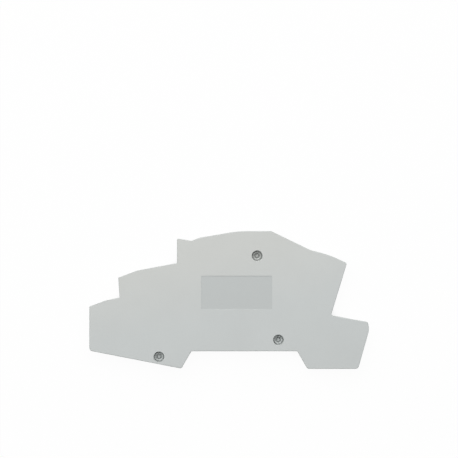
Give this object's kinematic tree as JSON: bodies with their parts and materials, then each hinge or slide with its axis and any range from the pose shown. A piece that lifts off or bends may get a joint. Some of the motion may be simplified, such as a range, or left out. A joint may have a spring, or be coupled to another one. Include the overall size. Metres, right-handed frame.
{
  "type": "terminal block end cover",
  "caption": "Flat moulded end cover with a stepped block profile, a rail notch and press-in pegs that closes the open side of a rail-mounted terminal block.",
  "frame": {"origin": "on the surface the cover lies on, under the middle of its bounding box: the peg tips are at Z = 0", "axes": "+X along the cover's length, from the tiered end towards the blunt toe; +Y from the rail notch towards the crest; +Z out of the face, away from the block"},
  "size_m": [0.095, 0.0468, 0.0052],
  "materials": {
    "end_cover": "light grey moulded polyamide, fine matt grain"
  },
  "bodies": {
    "root": {"end_cover": "end_cover"}
  },
  "joints": []
}
